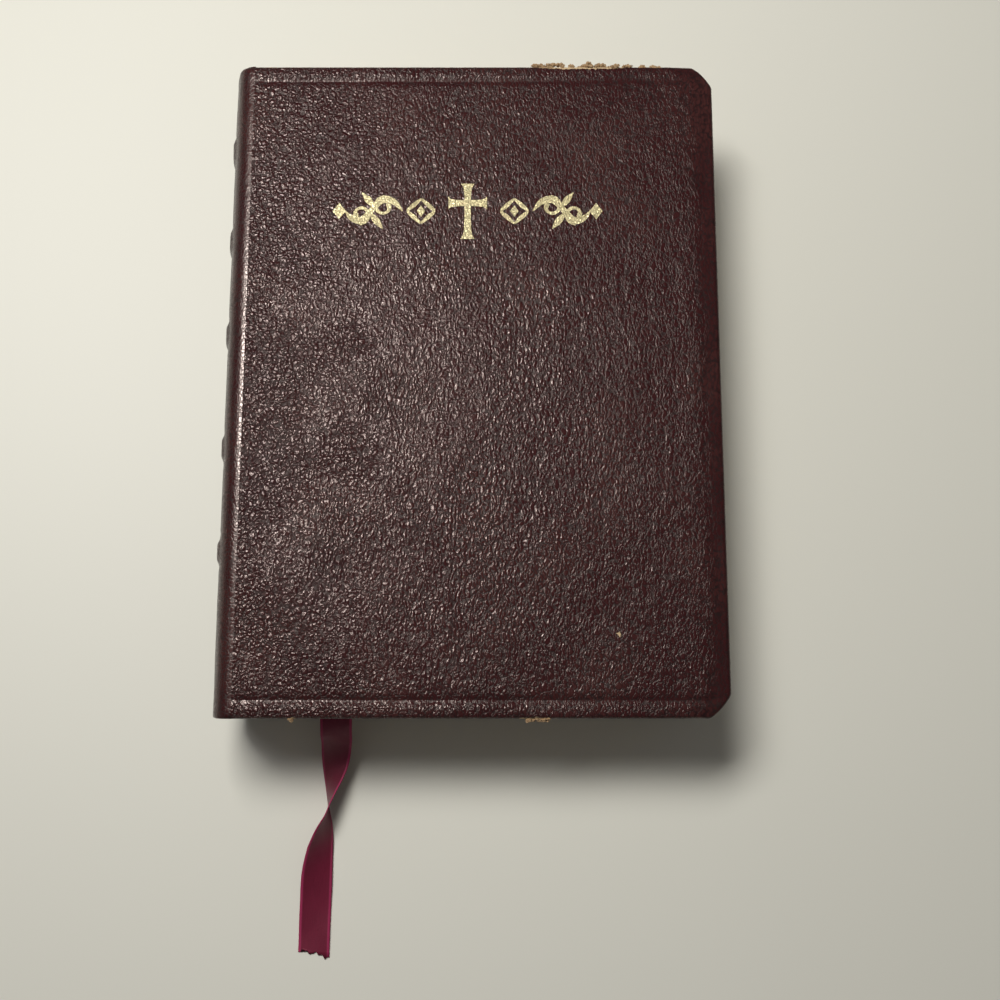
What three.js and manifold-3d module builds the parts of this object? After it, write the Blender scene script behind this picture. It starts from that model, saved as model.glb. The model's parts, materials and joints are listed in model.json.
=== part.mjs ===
// A compact leather-bound bible lying closed on its back cover, with a ribbon marker.
// Millimetres. While it is being built, x runs from the joint fold to the fore edge,
// y from the tail to the head and z up from the table; the whole book is centred at the end.

import * as THREE from 'three';
import { mergeVertices } from 'three/addons/utils/BufferGeometryUtils.js';
import Module from 'manifold-3d';

const wasm = await Module();
wasm.setup();

// Covers
const coverHeight = 146;
const coverFore = 106.2;            // fold line to fore edge
const coverSpineEdge = 2.3;       // the stiff part of a cover starts here, past the fold
const coverCorner = 5.5;
const coverThick = 1.8;
const bookThick = 28;
const wrapWall = 0.7;             // leather folded round the board's edge
const turnInWidth = 12;
const layers = {                  // measured outwards from a cover's inner face
  pastedown: [0, 0.2], turnIn: [0.25, 0.65], pocketRoof: 1.2, board: [0.72, 1.14], face: coverThick,
};

// Text block
const sectionCount = 24;
const square = 3;                 // cover overhang past the leaves
const blockFold = 2.2;            // fold of the first section
const spineRound = 2.8;            // how far the middle sections stand out at the spine
const leafCorner = 4;
const blockClear = 0.4;           // cover's inner face to the first section
const sectionGap = 0.08;
const ribbonSlot = 0.4;
const ribbonAfter = 12;           // the ribbon lies between this section and the next
const flyleaf = [0.12, 0.3];      // depth below the cover's inner face

// Spine layers, measured outwards from the folds
const spineLayers = {
  thread: [0.32, 0.52], mull: [0.6, 0.85], lining: [0.95, 1.2], stiffener: [2, 2.5], leather: [2.7, 3.5],
};
const bandPlaces = [55.5, 33.5, 11.5, -14.5, -37.5];
const bandWidth = 3.6;
const bandRise = 0.5;
const bandReach = 8.6;            // half the length of a band round the spine
const stitchPlaces = [54, 20, -20, -54];
const jointRod = 0.7;

// Ribbon marker
const ribbonWidth = 7;
const ribbonThick = 0.24;
const floorRest = 0.3;            // height of the ribbon's middle above the table

const halfCover = coverHeight / 2;
const halfBlock = halfCover - square;
const sectionDepth = coverFore - square - blockFold;
const midZ = bookThick / 2;
const frontInner = bookThick - coverThick;
const backInner = coverThick;
const blockTop = frontInner - blockClear;
const blockLow = backInner + blockClear;
const sectionPitch = (blockTop - blockLow - ribbonSlot) / sectionCount;
const foldX = (z) => blockFold - spineRound * (1 - ((z - midZ) / (bookThick / 2 - coverThick)) ** 2);

const book = new THREE.Group();

const finishes = {
  leather: [0x3a1a1d, 0.42, 0], board: [0x8a7f70, 0.9, 0], endpaper: [0xe9e2d0, 0.85, 0],
  leaves: [0xe8dfc8, 0.9, 0], gauze: [0xd8d2c0, 0.95, 0], lining: [0xa98b62, 0.9, 0],
  thread: [0xf0ece0, 0.8, 0], headband: [0x7a1f2b, 0.7, 0], ribbon: [0x6b1230, 0.45, 0],
  foil: [0xc9993f, 0.3, 1],
};

const steps = (from, to, count) => Array.from({ length: count + 1 }, (_, i) => from + (to - from) * i / count);

function addPiece(name, geometry, finish) {
  const [color, roughness, metalness] = finishes[finish];
  const mesh = new THREE.Mesh(geometry, new THREE.MeshStandardMaterial({ color, roughness, metalness }));
  mesh.name = name;
  book.add(mesh);
  return mesh;
}

function toSolid(geometry) {
  const bare = geometry.clone();
  bare.deleteAttribute('normal');
  bare.deleteAttribute('uv');
  const merged = mergeVertices(bare, 1e-4);
  return new wasm.Manifold(new wasm.Mesh({
    numProp: 3,
    vertProperties: Float32Array.from(merged.attributes.position.array),
    triVerts: Uint32Array.from(merged.index.array),
  }));
}

function toGeometry(solid) {
  const { vertProperties, triVerts } = solid.getMesh();
  const geometry = new THREE.BufferGeometry();
  geometry.setAttribute('position', new THREE.BufferAttribute(vertProperties, 3));
  geometry.setIndex(new THREE.BufferAttribute(triVerts, 1));
  geometry.computeVertexNormals();
  return geometry;
}

// Flat shape with square corners at the spine and rounded ones at the fore edge.
function leafShape(left, right, half, corner) {
  const shape = new THREE.Shape();
  shape.moveTo(left, -half);
  shape.lineTo(right - corner, -half);
  shape.absarc(right - corner, -half + corner, corner, -Math.PI / 2, 0);
  shape.lineTo(right, half - corner);
  shape.absarc(right - corner, half - corner, corner, 0, Math.PI / 2);
  shape.lineTo(left, half);
  shape.closePath();
  return shape;
}

function flatPlate(shape, heightA, heightB) {
  const low = Math.min(heightA, heightB);
  const plate = new THREE.ExtrudeGeometry(shape, {
    depth: Math.abs(heightB - heightA), bevelEnabled: false, curveSegments: 5,
  });
  return plate.translate(0, 0, low);
}

// A closed sheet that follows the rounded spine between two offsets from the folds.
function spineSheet(heights, places, innerOffset, outerOffset) {
  const corners = [];
  const rows = heights.length;
  for (const offset of [innerOffset, outerOffset]) {
    for (const y of places) {
      for (const z of heights) corners.push(foldX(z) - offset(y, z), y, z);
    }
  }
  const at = (side, column, row) => (side * places.length + column) * rows + row;
  const faces = [];
  const quad = (a, b, c, d) => faces.push(a, b, c, a, c, d);
  for (let column = 0; column < places.length - 1; column++) {
    for (let row = 0; row < rows - 1; row++) {
      quad(at(0, column, row), at(0, column + 1, row), at(0, column + 1, row + 1), at(0, column, row + 1));
      quad(at(1, column, row), at(1, column, row + 1), at(1, column + 1, row + 1), at(1, column + 1, row));
    }
    quad(at(0, column, 0), at(1, column, 0), at(1, column + 1, 0), at(0, column + 1, 0));
    const end = rows - 1;
    quad(at(0, column, end), at(0, column + 1, end), at(1, column + 1, end), at(1, column, end));
  }
  for (let row = 0; row < rows - 1; row++) {
    quad(at(0, 0, row), at(0, 0, row + 1), at(1, 0, row + 1), at(1, 0, row));
    const last = places.length - 1;
    quad(at(0, last, row), at(1, last, row), at(1, last, row + 1), at(0, last, row + 1));
  }
  const geometry = new THREE.BufferGeometry();
  geometry.setAttribute('position', new THREE.BufferAttribute(new Float32Array(corners), 3));
  geometry.setIndex(faces);
  geometry.computeVertexNormals();
  return geometry;
}


function evenSheet(reach, from, to, layer, rows = 12) {
  return spineSheet(steps(midZ - reach, midZ + reach, rows), [from, to], () => layer[0], () => layer[1]);
}

// A flat strip carried along points, each with the direction across the strip and, where it is gathered, a width.
function ribbonStrip(route, parts = 1) {
  const places = new THREE.CatmullRomCurve3(route.map(([place]) => new THREE.Vector3(...place)));
  const sides = new THREE.CatmullRomCurve3(route.map(([, side]) => new THREE.Vector3(...side)));
  const widths = route.map(([, , width = ribbonWidth]) => width);
  const count = (route.length - 1) * parts;
  const points = steps(0, 1, count).map((t) => places.getPoint(t));
  const corners = [];
  points.forEach((point, i) => {
    const along = points[Math.min(i + 1, count)].clone().sub(points[Math.max(i - 1, 0)]);
    const across = sides.getPoint(i / count).normalize();
    const up = along.cross(across).normalize();
    const last = Math.floor(i / parts);
    const width = THREE.MathUtils.lerp(widths[last], widths[last + 1] ?? widths[last], i / parts - last);
    for (const [a, b] of [[-1, -1], [1, -1], [1, 1], [-1, 1]]) {
      const corner = point.clone().addScaledVector(across, a * width / 2);
      corners.push(...corner.addScaledVector(up, b * ribbonThick / 2).toArray());
    }
  });
  const faces = [0, 2, 1, 0, 3, 2];
  for (let i = 0; i < count; i++) {
    for (let k = 0; k < 4; k++) {
      const a = 4 * i + k;
      const b = 4 * i + (k + 1) % 4;
      // both flat faces are split along the same diagonal, so a twisted strip keeps its thickness
      if (k === 2) faces.push(a, b, a + 4, b, b + 4, a + 4);
      else faces.push(a, b, b + 4, a, b + 4, a + 4);
    }
  }
  const end = 4 * count;
  faces.push(end, end + 1, end + 2, end, end + 2, end + 3);
  const geometry = new THREE.BufferGeometry();
  geometry.setAttribute('position', new THREE.BufferAttribute(new Float32Array(corners), 3));
  geometry.setIndex(faces);
  geometry.computeVertexNormals();
  return geometry;
}

// Cover: leather folded round a thin board on three sides, and a pastedown that covers the turn-ins.
function addCover(side, innerFace, outward) {
  const level = (depth) => innerFace + outward * depth;
  const inset = (by, left = coverSpineEdge) =>
    leafShape(left, coverFore - by, halfCover - by, Math.max(coverCorner - by, 1));
  const openLeft = coverSpineEdge - 1;
  const body = toSolid(flatPlate(inset(0), level(layers.turnIn[0]), level(layers.face)));
  const pocket = toSolid(flatPlate(inset(wrapWall, openLeft), level(layers.turnIn[1]), level(layers.pocketRoof)));
  const window = toSolid(flatPlate(inset(turnInWidth, openLeft), level(0.1), level(layers.turnIn[1] + 0.2)));
  addPiece(`${side}_cover_leather`, toGeometry(body.subtract(pocket).subtract(window)), 'leather');
  const board = inset(wrapWall + 0.3, coverSpineEdge + 0.3);
  addPiece(`${side}_cover_board`, flatPlate(board, level(layers.board[0]), level(layers.board[1])), 'board');
  const pastedown = inset(square + 1, coverSpineEdge + 0.2);
  addPiece(`${side}_pastedown`, flatPlate(pastedown, level(0), level(layers.pastedown[1])), 'endpaper');
  const leaf = leafShape(blockFold - 0.2, coverFore - square, halfBlock, leafCorner);
  addPiece(`${side}_flyleaf`, flatPlate(leaf, level(-flyleaf[0]), level(-flyleaf[1])), 'endpaper');
  const fold = new THREE.CylinderGeometry(jointRod, jointRod, 2 * halfBlock, 10).translate(0, 0, innerFace);
  addPiece(`${side}_joint_leather`, fold, 'leather');
}
addCover('front', frontInner, 1);
addCover('back', backInner, -1);

// Sewn sections of leaves, the first one uppermost
for (let i = 0; i < sectionCount; i++) {
  const top = blockTop - i * sectionPitch - (i >= ribbonAfter ? ribbonSlot : 0);
  const low = top - sectionPitch + sectionGap;
  const fold = foldX((top + low) / 2);
  const shape = leafShape(fold, fold + sectionDepth, halfBlock, leafCorner);
  addPiece(`leaf_section_${String(i + 1).padStart(2, '0')}`, flatPlate(shape, low, top), 'leaves');
}

// What holds the folds together, from the leaves outwards
stitchPlaces.forEach((y, i) => {
  addPiece(`sewing_thread_${i + 1}`, evenSheet(10.6, y - 0.2, y + 0.2, spineLayers.thread), 'thread');
});
addPiece('spine_gauze', evenSheet(10.8, -60, 60, spineLayers.mull), 'gauze');
addPiece('spine_lining', evenSheet(10.6, -66, 66, spineLayers.lining), 'lining');
addPiece('spine_stiffener', evenSheet(9.8, -72, 72, spineLayers.stiffener), 'board');

// Spine leather, raised over the cords
const bump = (y, z) => {
  const nearest = Math.min(...bandPlaces.map((place) => Math.abs(y - place)));
  const across = Math.max(0, 1 - (nearest / (bandWidth / 2 + 0.9)) ** 2);
  const round = Math.max(0, Math.min(1, (bandReach + 0.5 - Math.abs(z - midZ)) / 0.8));
  return Math.min(1, 1.6 * across) * round;
};
const bandEdges = bandPlaces.flatMap((place) => [-2.8, -2, -1.2, 0, 1.2, 2, 2.8].map((step) => place + step));
const leatherPlaces = [-halfCover, ...bandEdges.sort((a, b) => a - b), halfCover];
const leatherHeights = steps(midZ - 11.2, midZ + 11.2, 14);
const [leatherInner, leatherOuter] = spineLayers.leather;
addPiece('spine_leather', spineSheet(leatherHeights, leatherPlaces,
  (y, z) => leatherInner + bandRise * bump(y, z), (y, z) => leatherOuter + bandRise * bump(y, z)), 'leather');
bandPlaces.forEach((place, i) => {
  const from = leatherInner - 0.1;
  const cord = evenSheet(bandReach - 0.6, place - 1, place + 1, [from, from + bandRise - 0.15]);
  addPiece(`raised_band_${i + 1}`, cord, 'board');
});

// Worked bands over the ends of the folds
function addHeadband(name, end) {
  const roll = new THREE.Shape();
  roll.absarc(0, 0, 0.8, 0, 2 * Math.PI);
  const route = steps(midZ - 10, midZ + 10, 8).map((z) => new THREE.Vector3(foldX(z) + 0.4, 0, z));
  const tube = new THREE.ExtrudeGeometry(roll, {
    steps: 16, curveSegments: 8, bevelEnabled: false, extrudePath: new THREE.CatmullRomCurve3(route),
  });
  addPiece(name, tube.translate(0, end * (halfBlock + 1.1), 0), 'headband');
}
addHeadband('headband', 1);
addHeadband('tailband', -1);

// Ribbon: glued in the hollow of the spine, over the headband, down through the leaves, out at the tail
const slotZ = blockTop - ribbonAfter * sectionPitch - ribbonSlot / 2 + sectionGap / 2;
const hollowX = foldX(slotZ) - 1.45;
const exitX = 22;
const upright = [0, 0, 1];
const turned = (degrees) => [Math.cos(degrees * Math.PI / 180), 0, Math.sin(degrees * Math.PI / 180)];
addPiece('ribbon_marker', ribbonStrip([
  [[hollowX, 48, slotZ], upright, 7], [[hollowX, 66, slotZ], upright, 6.4], [[hollowX, 71, slotZ], upright, 3.8],
  [[hollowX + 0.25, 72.3, slotZ], upright, 3], [[hollowX + 0.9, 72.85, slotZ], upright, 3],
  [[0.4, 72.9, slotZ], turned(84), 3], [[1.6, 72.85, slotZ], turned(72), 3], [[2.8, 72.7, slotZ], turned(56), 3],
  [[3.8, 72.35, slotZ], turned(38), 3], [[4.5, 71.8, slotZ], turned(20), 3], [[4.9, 71.1, slotZ], turned(6), 3],
  [[5.05, 70.5, slotZ], turned(0), 3], [[5.2, 68.5, slotZ], turned(0), 4], [[6, 60, slotZ], [1, 0.1, 0]],
  [[exitX, -halfBlock, slotZ], [1, 0.1, 0]],
]), 'ribbon');

// The free end, which falls to the table and turns over once on its way
const flat = [1, 0.1, 0];
addPiece('ribbon_tail', ribbonStrip([
  [[22.1, -70.4, slotZ], flat], [[22, -72.6, 13.7], flat], [[21.9, -74.8, 12.6], flat],
  [[21.7, -76.8, 10.8], flat], [[21.5, -78.5, 8.4], turned(4)], [[21.2, -80.1, 6.2], turned(9)],
  [[20.9, -82, 4.4], turned(17)], [[20.6, -84.3, 3.2], turned(29)], [[20.2, -87, 3], turned(45)],
  [[19.8, -89.8, 3.6], turned(63)], [[19.4, -92.4, 3.9], turned(79)], [[19.1, -94.8, 3.95], turned(92)],
  [[18.6, -97.2, 3.8], turned(108)], [[18.1, -99.8, 3.45], turned(122)], [[17.5, -102.8, 2.85], turned(138)],
  [[16.8, -108, 1.7], turned(159)], [[16.5, -115, 0.75], turned(174)],
  [[16.35, -120.5, 0.35], turned(180)], [[16.3, -125.6, floorRest], turned(180)],
], 3), 'ribbon');

// Foil ornament in place of a title: a plain cross between lozenges and tapered rules
const ornament = { x: 50.8, y: 38, thick: 0.1, armHalf: 0.75, height: 13, crossbar: 8.6 };
function addFoil(name, outline) {
  const shape = new THREE.Shape(outline.map(([x, y]) => new THREE.Vector2(ornament.x + x, ornament.y + y)));
  addPiece(name, flatPlate(shape, bookThick, bookThick + ornament.thick), 'foil');
}
const arm = ornament.armHalf;
const reachUp = ornament.height / 2;
const barLow = reachUp * 0.24;
addFoil('foil_cross', [
  [-arm, -reachUp], [arm, -reachUp], [arm, barLow], [ornament.crossbar / 2, barLow],
  [ornament.crossbar / 2, barLow + 2 * arm], [arm, barLow + 2 * arm], [arm, reachUp], [-arm, reachUp],
  [-arm, barLow + 2 * arm], [-ornament.crossbar / 2, barLow + 2 * arm], [-ornament.crossbar / 2, barLow],
  [-arm, barLow],
]);
for (const [word, turn] of [['left', -1], ['right', 1]]) {
  const place = (points) => points.map(([x, y]) => [turn * x, y]).reverse();
  const outline = (points) => (turn > 0 ? points : place(points));
  addFoil(`foil_lozenge_${word}`, outline([[7.6, 0], [10.4, -2.9], [13.2, 0], [10.4, 2.9]]));
  addFoil(`foil_rule_${word}`, outline([[14.8, 0], [17.2, -0.95], [25.4, 0], [17.2, 0.95]]));
  addFoil(`foil_dot_${word}`, outline([[26.9, 0], [28.6, -1.7], [30.3, 0], [28.6, 1.7]]));
}

// The book's footprint is centred over the origin, bands included.
const bandFace = foldX(midZ) - leatherOuter - bandRise;
book.position.x = -(bandFace + coverFore) / 2;

export default book;
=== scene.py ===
import json
import math
import random

import bmesh
import bpy
from mathutils import Euler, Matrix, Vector, noise


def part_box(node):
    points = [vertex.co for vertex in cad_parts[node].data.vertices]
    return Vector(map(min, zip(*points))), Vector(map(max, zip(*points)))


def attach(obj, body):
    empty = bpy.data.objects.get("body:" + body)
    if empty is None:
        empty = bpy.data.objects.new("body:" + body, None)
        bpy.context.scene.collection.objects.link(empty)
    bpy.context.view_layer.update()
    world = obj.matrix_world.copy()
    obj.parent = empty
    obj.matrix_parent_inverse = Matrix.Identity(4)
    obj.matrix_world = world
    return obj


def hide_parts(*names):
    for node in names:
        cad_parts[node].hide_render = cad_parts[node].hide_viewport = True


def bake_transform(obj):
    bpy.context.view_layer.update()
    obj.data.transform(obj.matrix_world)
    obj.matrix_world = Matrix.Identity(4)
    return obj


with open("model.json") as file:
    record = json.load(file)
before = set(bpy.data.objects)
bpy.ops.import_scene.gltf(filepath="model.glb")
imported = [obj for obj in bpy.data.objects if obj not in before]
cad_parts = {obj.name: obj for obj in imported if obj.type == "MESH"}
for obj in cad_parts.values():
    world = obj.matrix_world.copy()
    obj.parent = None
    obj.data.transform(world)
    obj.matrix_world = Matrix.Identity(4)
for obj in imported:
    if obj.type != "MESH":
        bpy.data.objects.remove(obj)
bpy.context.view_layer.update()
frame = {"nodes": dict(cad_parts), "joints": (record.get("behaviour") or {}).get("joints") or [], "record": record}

mm = 0.001
leatherBend = math.radians(48)  # leather looks smooth over bends up to this angle

# Places that every piece is built from
joints = {joint["name"]: joint for joint in frame["joints"]}
frontFold = Vector(joints["front_cover_hinge"]["pos_m"])
backFold = Vector(joints["back_cover_hinge"]["pos_m"])
foldX = frontFold.x
coverLow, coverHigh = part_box("front_cover_leather")
spineLow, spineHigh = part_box("spine_leather")
midHeight = (frontFold.z + backFold.z) / 2
halfThick = (frontFold.z - backFold.z) / 2
halfCover = coverHigh.y
bookTop = coverHigh.z
print("frame loaded:", len(frame["nodes"]), "nodes")


def smooth(low, high, value):
    t = min(1.0, max(0.0, (value - low) / (high - low)))
    return t * t * (3 - 2 * t)


def ripple(x, y, z, size, seed):
    return noise.noise(Vector((x / size + seed, y / size - seed, z / size + 2.3 * seed)))


# A wire is a shader socket that Python expressions work on
class Wire:
    def __init__(self, graph, socket):
        self.graph = graph
        self.socket = socket

    def join(self, operation, first, second):
        return self.graph.node("ShaderNodeMath", {"operation": operation}, {0: first, 1: second})

    def __add__(self, other):
        return self.join("ADD", self, other)

    def __radd__(self, other):
        return self.join("ADD", other, self)

    def __sub__(self, other):
        return self.join("SUBTRACT", self, other)

    def __rsub__(self, other):
        return self.join("SUBTRACT", other, self)

    def __mul__(self, other):
        return self.join("MULTIPLY", self, other)

    def __rmul__(self, other):
        return self.join("MULTIPLY", other, self)

    def __truediv__(self, other):
        return self.join("DIVIDE", self, other)


class Finish:
    def __init__(self, name):
        self.material = bpy.data.materials.new(name)
        self.material.use_nodes = True
        self.tree = self.material.node_tree
        self.shader = next(n for n in self.tree.nodes if n.type == "BSDF_PRINCIPLED")

    def plug(self, value, socket):
        if isinstance(value, Wire):
            self.tree.links.new(value.socket, socket)
        else:
            socket.default_value = value

    def node(self, kind, settings=None, values=None, out=0):
        node = self.tree.nodes.new(kind)
        for key, value in (settings or {}).items():
            if key == "stops":
                ramp = node.color_ramp
                while len(ramp.elements) > 1:
                    ramp.elements.remove(ramp.elements[0])
                for index, (place, colour) in enumerate(value):
                    stop = ramp.elements[0] if index == 0 else ramp.elements.new(place)
                    stop.position = place
                    stop.color = (*colour, 1)
            else:
                setattr(node, key, value)
        for key, value in (values or {}).items():
            self.plug(value, node.inputs[key])
        return Wire(self, node.outputs[out])

    def place(self, perUnit=1.0, turn=(0, 0, 0), stretch=(1, 1, 1)):
        # Object coordinates, in millimetres times perUnit
        spot = self.node("ShaderNodeTexCoord", out="Object")
        scale = [1000 * perUnit * share for share in stretch]
        return self.node("ShaderNodeMapping", None, {"Vector": spot, "Rotation": turn, "Scale": scale})

    def cloud(self, where, scale, detail=2.0, rough=0.5):
        return self.node("ShaderNodeTexNoise", None,
                         {"Vector": where, "Scale": scale, "Detail": detail, "Roughness": rough})

    def ramp(self, value, low, high, toLow=0.0, toHigh=1.0):
        return self.node("ShaderNodeMapRange", {"interpolation_type": "SMOOTHSTEP"},
                         {"Value": value, "From Min": low, "From Max": high,
                          "To Min": toLow, "To Max": toHigh})

    def colours(self, share, first, second):
        sides = {}
        for key, value in ((6, first), (7, second)):
            sides[key] = value if isinstance(value, Wire) else (*value, 1)
        return self.node("ShaderNodeMix", {"data_type": "RGBA"}, {0: share, **sides}, out=2)

    def floats(self, share, first, second):
        return self.node("ShaderNodeMix", {"data_type": "FLOAT"}, {0: share, 2: first, 3: second})

    def cells(self, where, scale, feature="DISTANCE_TO_EDGE", spread=1.0):
        return self.node("ShaderNodeTexVoronoi", {"feature": feature},
                         {"Vector": where, "Scale": scale, "Randomness": spread})

    def bump(self, height, strength=1.0):
        # height is in metres
        self.set("Normal", self.node("ShaderNodeBump", None,
                                     {"Strength": strength, "Distance": 1.0, "Height": height}))

    def set(self, socket, value):
        self.plug(value, self.shader.inputs[socket])


def leatherFinish(name, worn=True, depth=0.26):
    # the near-black crease colour is painted shade in the grain; the rubbed and torn colours are real wear
    look = {"pebble": 1.12, "paintedCreaseShade": (0.007, 0.0012, 0.0018), "face": (0.029, 0.0046, 0.0057),
            "rubbed": (0.052, 0.017, 0.0155), "torn": (0.48, 0.35, 0.21), "bend": 2.4, "slant": 0.16,
            "creaseGloss": 0.46, "faceGloss": 0.24}
    finish = Finish(name)
    spot = finish.place()
    drift = finish.node("ShaderNodeTexNoise", None, {"Vector": spot, "Scale": 0.55, "Detail": 3.0},
                        out="Color")
    bent = finish.node("ShaderNodeVectorMath", {"operation": "MULTIPLY_ADD"},
                       {0: drift, 1: (look["bend"],) * 3, 2: spot})
    # the grain turns from round pebbles near the spine to long pulled ones near the fore edge
    axes = finish.node("ShaderNodeSeparateXYZ", None, {0: spot})
    patch = finish.cloud(spot, 0.05, 2.0)
    pulled = finish.ramp(axes * 0.009 + patch, 0.10, 0.50)
    long = finish.node("ShaderNodeMapping", None,
                       {"Vector": bent, "Rotation": (0, 0, look["slant"]), "Scale": (1.30, 0.46, 1)})
    edges, middles = [], []
    for where, spread in ((bent, 0.95), (long, 1.0)):
        edges.append(finish.cells(where, look["pebble"], spread=spread))
        middles.append(finish.cells(where, look["pebble"], "F1", spread))
    crease = finish.ramp(finish.floats(pulled, *edges), 0.0, 0.15)
    dome = 1 - finish.floats(pulled, *middles)
    fine = finish.cloud(spot, 3.0, 3.0, 0.6)
    coarse = finish.cloud(spot, 0.24, 3.0)
    strokes = finish.cloud(finish.place(stretch=(1.0, 0.42, 1.0), turn=(0, 0, look["slant"])), 1.15, 3.0, 0.62)
    height = crease * (0.10 + coarse * 0.25) + dome * 0.62 + fine * 0.16 + strokes * 0.75
    height = height * (depth * mm)
    if worn:
        # how strongly the grain stands up is painted too
        height = height * finish.node("ShaderNodeAttribute", {"attribute_name": "grain"}, out="Fac")
    tone = finish.cloud(spot, 0.06, 3.0)
    # painted shade: the grain's creases get a near-black colour
    skin = finish.colours(crease, look["paintedCreaseShade"], look["face"])
    skin = finish.colours(finish.ramp(tone * crease, 0.35, 0.75, 0, 0.7), skin, look["rubbed"])
    rough = finish.floats(crease, look["creaseGloss"], look["faceGloss"]) + (fine - 0.5) * 0.14
    if worn:
        # torn and scuffed places are painted on the mesh, and broken up here
        paint = finish.node("ShaderNodeAttribute", {"attribute_name": "wear"}, out="Fac")
        scrap = finish.cloud(spot, 1.7, 4.0, 0.65)
        torn = finish.ramp(paint + (scrap - 0.5) * 0.9, 0.46, 0.56)
        skin = finish.colours(torn, skin, look["torn"])
        rough = finish.floats(torn, rough, 0.92)
        height = finish.floats(torn, height, finish.cloud(spot, 4.5, 3.0) * (0.14 * mm))
    finish.set("Base Color", skin)
    finish.set("Roughness", rough)
    finish.set("Specular IOR Level", 0.46)
    finish.set("Specular Tint", (1.0, 0.86, 0.80, 1))
    finish.bump(height)
    return finish.material


def foilFinish(name):
    finish = Finish(name)
    spot = finish.place()
    grain = finish.cells(spot, 1.6)
    rub = finish.ramp(finish.cloud(spot, 1.9, 4.0, 0.7), 0.60, 0.68)
    gold = finish.colours(finish.cloud(spot, 1.3, 3.0), (0.46, 0.37, 0.18), (0.88, 0.80, 0.50))
    finish.set("Base Color", finish.colours(rub, gold, (0.20, 0.10, 0.045)))
    finish.set("Metallic", 0.75 - rub * 0.6)
    finish.set("Roughness", finish.floats(rub, 0.42, 0.6))
    finish.bump(finish.ramp(grain, 0.0, 0.2) * (0.10 * mm) + finish.cloud(spot, 3.0, 3.0) * (0.16 * mm))
    return finish.material


def paperFinish(name, colour, blotch=0.06):
    finish = Finish(name)
    spot = finish.place()
    age = finish.cloud(spot, 0.03, 3.0)
    darker = tuple(part * (1 - 2.2 * blotch) for part in colour)
    fibre = finish.cloud(finish.place(stretch=(1, 3, 1)), 2.4, 3.0)
    finish.set("Base Color", finish.colours(age * 0.6 + fibre * 0.4, darker, colour))
    finish.set("Roughness", 0.75 + fibre * 0.2)
    finish.bump(fibre * (0.02 * mm))
    return finish.material


def giltFinish(name):
    # trimmed leaf edges under gold leaf: fine level lines with rubbed places
    finish = Finish(name)
    lines = finish.cloud(finish.place(stretch=(0.12, 0.12, 9)), 1.0, 3.0, 0.6)
    rub = finish.ramp(finish.cloud(finish.place(stretch=(0.25, 0.25, 1.5)), 0.9, 4.0, 0.7), 0.56, 0.74)
    gold = finish.colours(lines, (0.42, 0.25, 0.07), (0.86, 0.63, 0.27))
    finish.set("Base Color", finish.colours(rub * 0.75, gold, (0.62, 0.50, 0.32)))
    finish.set("Metallic", 0.85 - rub * 0.6)
    finish.set("Roughness", 0.34 + rub * 0.3)
    finish.bump(lines * (0.03 * mm))
    return finish.material


def boardFinish(name, colour):
    finish = Finish(name)
    fleck = finish.cloud(finish.place(), 3.0, 4.0, 0.7)
    finish.set("Base Color", finish.colours(fleck, tuple(0.7 * part for part in colour), colour))
    finish.set("Roughness", 0.85 + fleck * 0.1)
    finish.bump(fleck * (0.04 * mm))
    return finish.material


def gauzeFinish(name):
    finish = Finish(name)
    spot = finish.place()
    axes = [finish.node("ShaderNodeSeparateXYZ", None, {0: spot}, out=k) for k in (1, 2)]
    wave = [finish.node("ShaderNodeMath", {"operation": "SINE"}, {0: axis * 7.5}) for axis in axes]
    highest = finish.node("ShaderNodeMath", {"operation": "MAXIMUM"}, {0: wave[0], 1: wave[1]})
    thread = finish.ramp(highest, 0.2, 0.8)
    finish.set("Base Color", finish.colours(thread, (0.42, 0.32, 0.2), (0.74, 0.70, 0.58)))
    finish.set("Roughness", 0.9)
    finish.bump(thread * (0.06 * mm))
    return finish.material


def threadFinish(name, colour):
    finish = Finish(name)
    strand = finish.cloud(finish.place(stretch=(1, 4, 1)), 3.5, 2.0)
    finish.set("Base Color", finish.colours(strand, tuple(0.6 * part for part in colour), colour))
    finish.set("Roughness", 0.6 + strand * 0.25)
    finish.set("Sheen Weight", 0.3)
    finish.bump(strand * (0.03 * mm))
    return finish.material


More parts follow.
